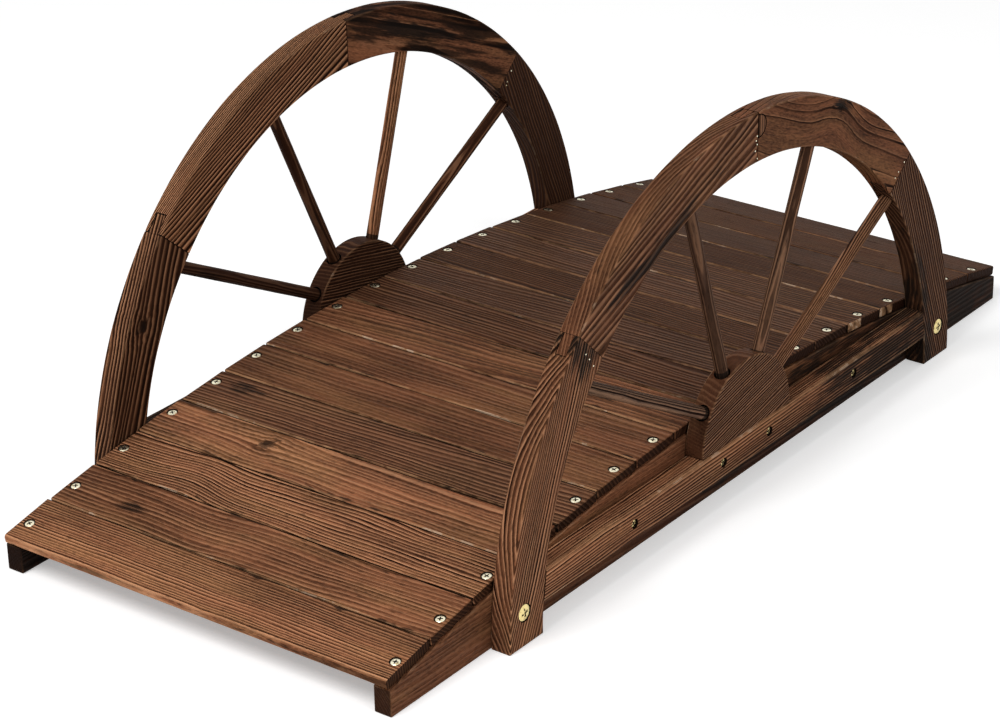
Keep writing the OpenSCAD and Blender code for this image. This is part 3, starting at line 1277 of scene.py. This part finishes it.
@dataclass
class HalfWheel:
    """Half-wheel rail on one side: felloes, beam, hub, spokes and fastenings.

    The rail is shaped in its own plane: X along the bridge, Y upwards, Z outwards from the stringer.

    Attributes:
        side: side of the bridge.
        rim_wood: material of the felloes.
        beam_wood: material of the beam.
        hub_wood: material of the hub.
        spoke_wood: material of the spokes.
        brass: material of the screws and brads.
        gilt: material of the bolts.
        felloe_figures: figure of each felloe, from the right foot round, seen from outside.
        spoke_figures: figure of each spoke, in the same order.
        hub_figure: figure of the hub.
    """

    SAME_ANGLE = 1e-5
    BRAD_SHARP = math.radians(40.0)

    side: Side
    rim_wood: bpy.types.Material
    beam_wood: bpy.types.Material
    hub_wood: bpy.types.Material
    spoke_wood: bpy.types.Material
    brass: bpy.types.Material
    gilt: bpy.types.Material
    felloe_figures: Sequence[Figure]
    spoke_figures: Sequence[Figure]
    hub_figure: Figure
    face: float = 217.0
    rim_radius: float = 367.0
    rim_depth: float = 47.0
    thick: float = 21.0
    joints: tuple[float, ...] = (41.0, 89.0, 136.0)
    tongue_length: float = 18.0
    tongue_thick: float = 10.0
    tongue_step: float = 0.4
    joint_clear: float = 0.3
    joint_arris: float = 0.8
    tip_arris: float = 0.15
    arris: float = 1.4
    beam_low: float = 29.0
    beam_high: float = 60.0
    beam_arris: float = 3.0
    hub_radius: float = 73.0
    hub_thick: float = 20.0
    hub_shift: float = -3.0
    hub_grain: float = 12.0
    spoke_width: float = 12.5
    spoke_rim_angles: tuple[float, ...] = (38.5, 70.5, 106.0, 141.0)
    spoke_hub_angles: tuple[float, ...] = (32.5, 65.0, 113.0, 146.5)
    rim_socket: float = 14.0
    hub_socket: float = 18.0
    spoke_collars: tuple[float, ...] = (0.6, 0.6, 4.5, 4.5)
    rim_bore: float = 14.2
    hub_bore: float = 15.4
    bolt_bore: float = 16.8
    bolt_pocket: float = 1.4
    screw_bore: float = 9.6
    screw_pocket: float = 4.4
    plug_felloe: int = 2
    plug_radius: float = 353.6
    plug_half: float = 10.3
    plug_width: float = 11.5
    plug_gap: float = 1.0
    plug_depth: float = 2.4
    plug_clear: float = 0.8
    plug_sunk: float = 0.05
    plug_sides: int = 40
    plug_arris: float = 0.7
    plug_burn: float = -0.3
    brad_radius: float = 1.0
    brad_tip: float = 0.7
    brad_sides: int = 12
    brad_length: float = 1.2
    brad_sunk: float = 0.02
    outer_brads: tuple[tuple[float, float], ...] = (
        (-255.1, 235.5), (-250.1, 229.0), (-244.4, 220.7), (4.4, 345.2), (2.9, 341.2), (4.5, 337.4),
        (1.6, 332.0), (4.9, 324.0), (265.4, 234.3), (255.1, 227.9), (249.2, 223.6))
    inner_brads: tuple[tuple[float, float], ...] = ((-252.5, 237.6), (-245.3, 228.1), (-243.5, 224.5))
    bolt_places: tuple[tuple[float, float], ...] = ((-346.0, 32.0), (346.0, 32.0))
    bolt_sunk: float = 0.55
    screw_places: tuple[tuple[float, float], ...] = (
        (-184.0, 44.5), (-42.5, 44.5), (34.0, 44.5), (184.0, 44.5))
    screw_sunk: float = 2.1
    step_angle: float = 1.6
    beam_cuts: int = 39
    beam_wave: float = 25.0
    hub_sides: int = 120
    spoke_sides: int = 28
    spoke_cuts: int = 18
    spoke_burn: float = -0.9
    spoke_weathering: tuple[float, float] = (0.35, 30.0)

    @property
    def inner_radius(self) -> float:
        """Radius of the rim's inner curve."""
        return self.rim_radius - self.rim_depth

    @property
    def middle_radius(self) -> float:
        """Radius of the middle of the rim."""
        return self.rim_radius - self.rim_depth / 2.0

    @property
    def placement(self) -> Matrix:
        """From the rail's plane to the bridge, in mm."""
        stand = Matrix.Translation((0.0, -self.face, 0.0)) @ Matrix.Rotation(QUARTER_TURN, 4, "X")
        return self.side.turn @ stand

    @staticmethod
    def polar(radius: float, angle: float, height: float = 0.0) -> Vector:
        """Point of the rail's plane at a radius and an angle in radians."""
        return Vector((radius * math.cos(angle), radius * math.sin(angle), height))

    def felloe(self, number: int, figure: Figure) -> bpy.types.Object:
        """Build one felloe with a tongue at its high end and a slot at its low end.

        Args:
            number: number of the felloe from the right foot, from 1.
            figure: lie of its rings and tone.

        Returns:
            The finished object.
        """
        ends = (0.0, *self.joints, 180.0)
        start, stop = math.radians(ends[number - 1]), math.radians(ends[number])
        middle = (start + stop) / 2.0
        name = self.side.value
        timber = Timber(f"felloe_{name}_{number}", f"{name}_felloe_{number}", "rim_wood", figure,
                        self.polar(1.0, middle + QUARTER_TURN), self.polar(-1.0, middle),
                        self.polar(self.middle_radius, middle, self.thick / 2.0))
        self.sweep(timber, start, stop)
        if number > 1:
            self.cut_slot(timber, start)
        if number <= len(self.joints):
            self.raise_tongue(timber, stop)
        face_outwards(timber.mesh)
        timber.ease([e for e in timber.mesh.edges if self.on_long_arris(e)], self.arris)
        tip = [e for e in timber.corners(SQUARE) if any(angle_of(v.co) > stop - SAME for v in e.verts)]
        timber.ease(tip, self.tip_arris, 1, SOOT_AND_SHADE)
        rest = [e for e in timber.corners(SQUARE) if all(angle_of(v.co) < stop - 0.01 for v in e.verts)]
        timber.ease(rest, self.joint_arris, 1, SOOT_AND_SHADE)
        angles = [math.radians(a) for a in self.spoke_rim_angles]
        timber.bore([self.spoke_run(i) for i, a in enumerate(angles, 1) if start < a < stop], self.rim_bore)
        bolts = [spot for spot in self.bolt_places if start < angle_of(Vector(spot)) < stop]
        timber.bore([self.pocket(spot, self.bolt_pocket) for spot in bolts], self.bolt_bore)
        if number == self.plug_felloe:
            timber.carve(self.plug_shape(self.plug_clear, self.thick - self.plug_depth, self.thick + 1.0))
        timber.weather()
        return timber.finish(self.placement, self.rim_wood)

    def pocket(self, spot: tuple[float, float], depth: float) -> tuple[Vector, Vector]:
        """Ends of the axis of a round pocket in the outer face."""
        return Vector((*spot, self.thick - depth)), Vector((*spot, self.thick + 2.0))

    def plug_shape(self, grow: float, low: float, high: float) -> BMesh:
        """Shape the half-round plug beside the top joint.

        Args:
            grow: how much larger than the plug the shape is.
            low: height of its underside.
            high: height of its upper side.

        Returns:
            The closed shape.
        """
        shape = bmesh.new()
        bmesh.ops.create_circle(shape, cap_ends=True, segments=self.plug_sides,
                                radius=self.plug_half + grow)
        bmesh.ops.scale(shape, vec=(self.plug_width / self.plug_half, 1.0, 1.0), verts=shape.verts[:])
        bmesh.ops.bisect_plane(shape, geom=region(shape.faces), dist=ON_PLANE, plane_co=(-grow, 0.0, 0.0),
                               plane_no=X_AXIS, clear_inner=True)
        top = extrude(shape, shape.faces[:])
        bmesh.ops.translate(shape, vec=(0.0, 0.0, high - low), verts=top)
        face_outwards(shape)
        joint = math.radians(self.joints[self.plug_felloe - 1])
        foot = self.polar(self.plug_radius, joint - self.plug_gap / self.plug_radius, low)
        turn = Matrix.Translation(foot) @ Matrix.Rotation(joint - QUARTER_TURN, 4, "Z")
        bmesh.ops.transform(shape, matrix=turn, verts=shape.verts[:])
        return shape

    def plug(self) -> bpy.types.Object:
        """Build the half-round plug.

        Returns:
            The finished object.
        """
        name = self.side.value
        timber = Timber(f"rim_plug_{name}", None, "rim_wood", Figure(Cut.RIFT, 3.0, 0.2, 0.4, 0.7, ash=0.2),
                        Y_AXIS, X_AXIS, self.polar(self.plug_radius, QUARTER_TURN, self.thick))
        timber.mesh = self.plug_shape(0.0, self.thick - self.plug_depth, self.thick - self.plug_sunk)
        timber.mesh.faces.layers.float.new("arris")
        timber.ease(timber.corners(SQUARE), self.plug_arris, 2, self.plug_burn)
        return timber.finish(self.placement, self.rim_wood)

    def brads(self) -> bpy.types.Object:
        """Drive the small brads through the tongues of the joints.

        Returns:
            The finished object.
        """
        joined = bmesh.new()
        joined.faces.layers.float.new("recess_shade")
        for spots, height, turn in ((self.outer_brads, self.thick - self.brad_sunk, 0.0),
                                    (self.inner_brads, self.brad_sunk, math.pi)):
            for spot in spots:
                place = Matrix.Translation((*spot, height)) @ Matrix.Rotation(turn, 4, "X")
                lower = place @ Matrix.Translation((0.0, 0.0, -self.brad_length / 2.0))
                made = bmesh.ops.create_cone(joined, cap_ends=True, segments=self.brad_sides,
                                             radius1=self.brad_radius, radius2=self.brad_tip,
                                             depth=self.brad_length, matrix=lower)
                bmesh.ops.transform(joined, matrix=self.placement, verts=made["verts"])
        name = f"rim_brads_{self.side.value}"
        return hand_over(joined, name, self.brass, self.BRAD_SHARP)

    def sweep(self, timber: Timber, start: float, stop: float) -> None:
        """Sweep the rim's rectangular section round from one angle to another.

        Args:
            timber: piece to shape.
            start: first angle, in radians.
            stop: last angle, in radians.
        """
        flat = Matrix.Translation(self.polar(self.middle_radius, start, self.thick / 2.0))
        turn = Matrix.Rotation(start, 4, "Z") @ Matrix.Rotation(QUARTER_TURN, 4, "X")
        size = Matrix.Diagonal((self.rim_depth, self.thick, 1.0, 1.0))
        bmesh.ops.create_grid(timber.mesh, x_segments=1, y_segments=1, size=HALF, matrix=flat @ turn @ size)
        steps = max(4, round(math.degrees(stop - start) / self.step_angle))
        bmesh.ops.spin(timber.mesh, geom=timber.geometry(), cent=(0.0, 0.0, 0.0), axis=Z_AXIS,
                       angle=stop - start, steps=steps, use_merge=False, use_duplicate=False)
        face_outwards(timber.mesh)

    def strip(self, width: float) -> tuple[float, float]:
        """Heights of the two sides of a strip of the given width in the middle of the rim's thickness."""
        return (self.thick - width) / 2.0, (self.thick + width) / 2.0

    def raise_tongue(self, timber: Timber, joint: float) -> None:
        """Extrude a tongue from the high end of a felloe.

        Args:
            timber: the felloe.
            joint: angle of its high end, in radians.
        """
        low, high = self.strip(self.tongue_thick + 2.0 * self.tongue_step)
        tangent = self.polar(1.0, joint + QUARTER_TURN)
        root = joint - self.tongue_length / self.middle_radius
        timber.split(Vector(), self.polar(1.0, root + QUARTER_TURN))
        for height in (low, high):
            near = [f for f in timber.mesh.faces if angle_of(f.calc_center_median()) > root + ON_PLANE]
            timber.split(Vector((0.0, 0.0, height)), Z_AXIS, near)
        cap = [f for f in timber.mesh.faces
               if self.is_end(f, tangent) and low < f.calc_center_median().z < high]
        bmesh.ops.inset_region(timber.mesh, faces=cap, thickness=self.tongue_step, use_even_offset=True)
        tip = extrude(timber.mesh, cap)
        turn = Matrix.Rotation(self.tongue_length / self.middle_radius, 3, "Z")
        bmesh.ops.rotate(timber.mesh, cent=(0.0, 0.0, 0.0), matrix=turn, verts=tip)

    @staticmethod
    def is_end(face: BMFace, tangent: Vector) -> bool:
        """Tell whether a face is the flat end of a felloe at the joint with the given tangent."""
        return face.normal.dot(tangent) > 0.99 and abs(face.calc_center_median().dot(tangent)) < 1.0

    def cut_slot(self, timber: Timber, joint: float) -> None:
        """Cut the slot that takes the tongue of the felloe before.

        Args:
            timber: the felloe.
            joint: angle of its low end, in radians.
        """
        low, high = self.strip(self.tongue_thick + 2.0 * self.joint_clear)
        depth = (self.tongue_length + self.joint_clear) / self.middle_radius
        bottom = joint + depth
        timber.split(Vector(), self.polar(1.0, bottom + QUARTER_TURN))

        def near_joint() -> list[BMFace]:
            """Faces between the joint and the bottom of the slot."""
            return [f for f in timber.mesh.faces if angle_of(f.calc_center_median()) < bottom - ON_PLANE]

        for height in (low, high):
            timber.split(Vector((0.0, 0.0, height)), Z_AXIS, near_joint())
        inside = [f for f in near_joint() if low < f.calc_center_median().z < high]
        bmesh.ops.delete(timber.mesh, geom=inside, context="FACES")
        mouth = [v for v in timber.mesh.verts if v.is_boundary]

        def pick(height: float | None, angle: float | None) -> list[BMVert]:
            """Vertices of the slot's mouth at a height, an angle or both."""
            return [v for v in mouth if (height is None or abs(v.co.z - height) < SAME)
                    and (angle is None or abs(angle_of(v.co) - angle) < self.SAME_ANGLE)]

        bmesh.ops.contextual_create(timber.mesh, geom=pick(None, bottom))
        for height in (low, high):
            bmesh.ops.contextual_create(timber.mesh, geom=pick(height, None))

    def on_long_arris(self, edge: BMEdge) -> bool:
        """Tell whether an edge runs along one of the rim's four long arrises.

        Args:
            edge: edge to test.

        Returns:
            True where both ends lie on an arris, at different angles.
        """
        for vert in edge.verts:
            radius = vert.co.xy.length
            at_face = min(abs(vert.co.z), abs(vert.co.z - self.thick)) < SAME
            at_curve = min(abs(radius - self.rim_radius), abs(radius - self.inner_radius)) < 0.2
            if not (at_face and at_curve):
                return False
        first, second = (angle_of(v.co) for v in edge.verts)
        return abs(first - second) > self.SAME_ANGLE

    def beam(self) -> bpy.types.Object:
        """Build the bar between the feet, its ends coped to the rim.

        Returns:
            The finished object.
        """
        name = self.side.value
        # The fade across paints shade, darker towards the beam's lower edge; the fade along and the stain darken it
        # towards one end.
        figure = Figure(Cut.RIFT, 2.2, 0.22, 0.34, 1.2, fade=(-0.0005, 0.011, 0.0), lean=(0.0, 0.01),
                        wear=0.45, wander=4.0, stain_and_shade=(350.0, 10.0, 260.0, 40.0))
        timber = Timber(f"bottom_beam_{name}", f"{name}_beam", "stringer_wood", figure, X_AXIS, Y_AXIS,
                        Vector((0.0, (self.beam_low + self.beam_high) / 2.0, self.thick / 2.0)))
        low = Vector((-self.inner_radius, self.beam_low, 0.0))
        high = Vector((self.inner_radius, self.beam_high, self.thick))
        create_box(timber.mesh, low, high)
        timber.slice(X_AXIS, self.beam_cuts)
        for vert in timber.mesh.verts:
            if abs(vert.co.x) > self.inner_radius - 1.0:
                reach = math.sqrt((self.inner_radius - 0.1) ** 2 - vert.co.y ** 2)
                vert.co.x = math.copysign(reach, vert.co.x)
        long_corners = [e for e in timber.corners(BLUNT) if runs_along(e, X_AXIS, 6.0)]
        timber.ease(long_corners, self.beam_arris, 4)
        timber.weather(wave=self.beam_wave)
        timber.bore([self.pocket(spot, self.screw_pocket) for spot in self.screw_places], self.screw_bore)
        return timber.finish(self.placement, self.beam_wood)

    def hub(self) -> bpy.types.Object:
        """Build the half-round hub.

        Returns:
            The finished object.
        """
        name = self.side.value
        centre = Vector((self.hub_shift, self.beam_high, 0.0))
        tilt = math.radians(self.hub_grain)
        timber = Timber(f"half_hub_{name}", f"{name}_hub", "hub_wood", self.hub_figure,
                        self.polar(1.0, tilt), self.polar(1.0, tilt + QUARTER_TURN),
                        centre + Vector((0.0, self.hub_radius / 2.0, self.hub_thick / 2.0)))
        bmesh.ops.create_circle(timber.mesh, cap_ends=True, segments=self.hub_sides,
                                radius=self.hub_radius, matrix=Matrix.Translation(centre))
        bmesh.ops.bisect_plane(timber.mesh, geom=timber.geometry(), dist=ON_PLANE, plane_co=centre,
                               plane_no=Y_AXIS, clear_inner=True)
        top = extrude(timber.mesh, timber.mesh.faces[:])
        bmesh.ops.translate(timber.mesh, vec=(0.0, 0.0, self.hub_thick), verts=top)
        face_outwards(timber.mesh)
        timber.ease(timber.corners(BLUNT), self.arris)
        timber.bore([self.spoke_run(i + 1) for i in range(len(self.spoke_hub_angles))], self.hub_bore)
        return timber.finish(self.placement, self.hub_wood)

    def spoke_run(self, number: int) -> tuple[Vector, Vector]:
        """Ends of a spoke's axis, in its sockets in the hub and the rim.

        Args:
            number: number of the spoke from the right foot, from 1.

        Returns:
            The end in the hub and the end in the rim.
        """
        hub = Vector((self.hub_shift, self.beam_high, 0.0))
        middle = Vector((0.0, 0.0, self.thick / 2.0))
        foot = hub + middle + self.polar(self.hub_radius, math.radians(self.spoke_hub_angles[number - 1]))
        head = middle + self.polar(self.inner_radius, math.radians(self.spoke_rim_angles[number - 1]))
        run = (head - foot).normalized()
        return foot - run * self.hub_socket, head + run * self.rim_socket

    def spoke(self, number: int) -> bpy.types.Object:
        """Build one dowel from its socket in the hub to its socket in the rim.

        Args:
            number: number of the spoke from the right foot, from 1.

        Returns:
            The finished object.
        """
        name = self.side.value
        foot, head = self.spoke_run(number)
        length = (head - foot).length
        timber = Timber(f"spoke_{name}_{number}", f"{name}_spoke_{number}", "spoke_wood",
                        self.spoke_figures[number - 1], Z_AXIS, X_AXIS)
        bmesh.ops.create_cone(timber.mesh, cap_ends=True, segments=self.spoke_sides, depth=length,
                              radius1=self.spoke_width / 2.0, radius2=self.spoke_width / 2.0)
        timber.slice(Z_AXIS, self.spoke_cuts, False)
        # The spoke's end in the hub and a short length beyond the socket are painted dark as the socket's shade.
        shade_end = self.hub_socket + self.spoke_collars[number - 1] - length / 2.0
        timber.split(Z_AXIS * shade_end, Z_AXIS)
        layer = timber.marks
        for face in timber.mesh.faces:
            face[layer] = self.spoke_burn if face.calc_center_median().z < shade_end else 0.0
        timber.weather(*self.spoke_weathering)
        return timber.finish(self.placement @ between(foot, head), self.spoke_wood)

    def fastenings(self) -> list[bpy.types.Object]:
        """Set the bolts through the feet and the screws along the beam.

        Returns:
            The finished objects.
        """
        bolt = CrossHead(radius=7.6, dome=0.5, edge=0.6, sink=0.2, reach=4.1, arm=1.2, recess=2.2)
        screw = CrossHead(radius=3.7, reach=2.3)
        rows = [self.brads()]
        for label, head, spots, sunk in (("foot_bolts", bolt, self.bolt_places, self.bolt_sunk),
                                         ("beam_screws", screw, self.screw_places, self.screw_sunk)):
            places = [self.placement @ Matrix.Translation((*spot, self.thick - sunk)) for spot in spots]
            rows.append(set_screws(f"{label}_{self.side.value}", head, places, self.gilt))
        return rows

    def build(self) -> list[bpy.types.Object]:
        """Build the whole rail.

        Returns:
            The finished objects.
        """
        pieces = [self.felloe(i, figure) for i, figure in enumerate(self.felloe_figures, 1)]
        pieces += [self.plug(), self.beam(), self.hub()]
        pieces += [self.spoke(i + 1) for i in range(len(self.spoke_rim_angles))]
        return pieces + self.fastenings()


@dataclass
class Studio:
    """White floor, soft light and the camera at the photograph's viewing angle.

    Attributes:
        camera_place: place of the camera, in metres.
        yaw: angle of the view from +Y towards +X, in degrees.
        pitch: angle of the view below the horizon, in degrees.
        roll: turn of the camera about its axis, in degrees.
        lens: focal length for a sensor 36 mm wide.
    """

    camera_place: tuple[float, float, float] = (-2.15364, -1.60052, 1.33978)
    yaw: float = 52.5826
    pitch: float = 25.4243
    roll: float = -1.2763
    lens: float = 112.254
    sensor: float = 36.0
    floor_size: float = 14.0
    sky_strength: float = 0.45
    key_place: tuple[float, float, float] = (-2.0, 0.3, 2.8)
    key_size: float = 1.6
    key_power: float = 58.0
    fill_place: tuple[float, float, float] = (-0.6, -2.7, 1.7)
    fill_size: float = 1.6
    fill_power: float = 29.0
    target: tuple[float, float, float] = (0.0, 0.0, 0.12)

    def camera(self) -> None:
        """Place the camera and make it the scene's."""
        data = bpy.data.cameras.new("photo_view")
        data.lens = self.lens
        data.sensor_width = self.sensor
        data.sensor_fit = "HORIZONTAL"
        data.clip_end = 100.0
        eye = add_object("photo_view", data)
        turn = (Matrix.Rotation(-math.radians(self.yaw), 4, "Z")
                @ Matrix.Rotation(QUARTER_TURN - math.radians(self.pitch), 4, "X")
                @ Matrix.Rotation(math.radians(self.roll), 4, "Z"))
        eye.matrix_world = Matrix.Translation(self.camera_place) @ turn
        bpy.context.scene.camera = eye

    def softbox(self, name: str, place: Sequence[float], size: float, power: float) -> None:
        """Hang a square softbox that faces the bridge.

        Args:
            name: name of the lamp.
            place: place of the lamp, in metres.
            size: side of the lamp, in metres.
            power: power of the lamp, in watts.
        """
        data = bpy.data.lights.new(name, "AREA")
        data.shape = "SQUARE"
        data.size = size
        data.energy = power
        lamp = add_object(name, data)
        lamp.location = place
        lamp.rotation_euler = (Vector(self.target) - Vector(place)).to_track_quat("-Z", "Y").to_euler()

    def floor(self) -> None:
        """Lay the floor."""
        mesh = bmesh.new()
        bmesh.ops.create_grid(mesh, x_segments=8, y_segments=8, size=self.floor_size / 2.0)
        data = bpy.data.meshes.new("studio_floor")
        mesh.to_mesh(data)
        mesh.free()
        data.materials.append(StudioFloor().material())
        ground = add_object("studio_floor", data)

    def sky(self) -> None:
        """Fill the room with even light, behind a white backdrop for the camera."""
        graph = Graph(bpy.data.worlds.new("studio_sky"))
        light, backdrop = (graph.white("ShaderNodeBackground", power) for power in (self.sky_strength, 1.0))
        bpy.context.scene.world = graph.output(graph.either(graph.seen(*LOOKED_AT), light, backdrop))

    def build(self) -> None:
        """Set up the whole studio."""
        bpy.context.scene.view_settings.view_transform = "Standard"
        self.camera()
        self.floor()
        self.sky()
        self.softbox("key_softbox", self.key_place, self.key_size, self.key_power)
        self.softbox("fill_softbox", self.fill_place, self.fill_size, self.fill_power)


FELLOE_FIGURES: dict[Side, tuple[Figure, ...]] = {
    Side.RIGHT: (
        Figure(Cut.RIFT, 2.6, 0.03, 0.30, 1.0, wear=0.15, wander=5.0, calm=0.5,
               stain_and_shade=(-60.0, 38.0, 110.0, 26.0)),
        Figure(Cut.CROWN, 4.2, 0.24, 0.20, 1.1, ridged=0.0, wear=0.15, wander=8.0, knot=(8.0, -20.0),
               pinch=(8.0, 38.0, 14.0), stain_and_shade=(2.0, -19.0, 26.0, 8.0)),
        Figure(Cut.SLAB, 3.0, 0.17, 0.42, 0.8, wear=0.2, wander=9.0, calm=0.35,
               stain_and_shade=(20.0, 15.0, 110.0, 9.0)),
        Figure(Cut.RIFT, 2.5, 0.29, 0.20, 1.2, wear=0.15, wander=5.0, stain_and_shade=(-128.0, 18.0, 32.0, 24.0),
               fade=(0.0006, 0.0, 0.0)),
    ),
    Side.LEFT: (
        Figure(Cut.SLAB, 3.2, 0.14, 0.30, 1.5, wear=0.2, wander=8.0, fade=(0.0, 0.0, 0.008),
               knot=(44.0, -3.5)),
        Figure(Cut.SLAB, 1.8, 0.36, 0.15, 1.9, wear=0.2, wander=3.0, fade=(0.0, 0.0, 0.006)),
        Figure(Cut.CROWN, 9.5, 0.35, 0.90, 1.15, ridged=0.0, wear=0.1, wander=8.0,
               stain_and_shade=(-40.0, 6.0, 110.0, 9.0)),
        Figure(Cut.RIFT, 3.0, 0.01, 0.40, 0.5, wear=0.1, wander=5.0),
    ),
}
SPOKE_FIGURES: dict[Side, tuple[Figure, ...]] = {
    Side.RIGHT: (
        Figure(Cut.RIFT, 2.0, 0.30, 0.25, 1.0, ash=0.12),
        Figure(Cut.RIFT, 2.2, 0.26, 0.25, 0.8, ash=0.35),
        Figure(Cut.RIFT, 2.6, 0.08, 0.40, 0.9, ash=0.25),
        Figure(Cut.RIFT, 2.2, 0.20, 0.45, 1.4, ash=0.6),
    ),
    Side.LEFT: (
        Figure(Cut.RIFT, 2.4, 0.0, 0.60, 0.35),
        Figure(Cut.RIFT, 2.4, 0.02, 0.45, 0.6),
        Figure(Cut.RIFT, 2.4, 0.54, 0.20, 1.0),
        Figure(Cut.RIFT, 2.4, 0.08, 0.35, 0.9),
    ),
}
HUB_FIGURES: dict[Side, Figure] = {
    Side.RIGHT: Figure(Cut.QUARTER, 2.7, 0.09, 0.15, 1.5, wear=0.2, wander=3.0, closed=0.1, calm=0.8),
    Side.LEFT: Figure(Cut.QUARTER, 3.2, 0.02, 0.35, 1.2, wear=0.2, wander=3.0, closed=0.3, calm=0.6),
}


def main() -> None:
    """Build the dressed bridge around the CAD frame, and its studio."""
    logging.basicConfig(level=logging.INFO, format="%(name)s %(message)s")
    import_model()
    Studio().build()

    brass = PlatedBrass().material()
    gilt = PlatedBrass("gilt_brass", bright="#e6d394", tarnish="#a88a4c").material()
    deck_wood, rim_wood, beam_wood, hub_wood, spoke_wood = (
        CharredFir(f"{part}_fir").material() for part in ("deck", "rim", "beam", "hub", "spoke"))
    pieces = Deck(deck_wood, brass).build()
    for side in Side:
        pieces.append(Stringer(side, beam_wood).build())
        rail = HalfWheel(side, rim_wood, beam_wood, hub_wood, spoke_wood, brass, gilt,
                         FELLOE_FIGURES[side], SPOKE_FIGURES[side], HUB_FIGURES[side])
        pieces += rail.build()
    LOG.info("%d pieces", len(pieces))


if __name__ == "__main__":
    main()
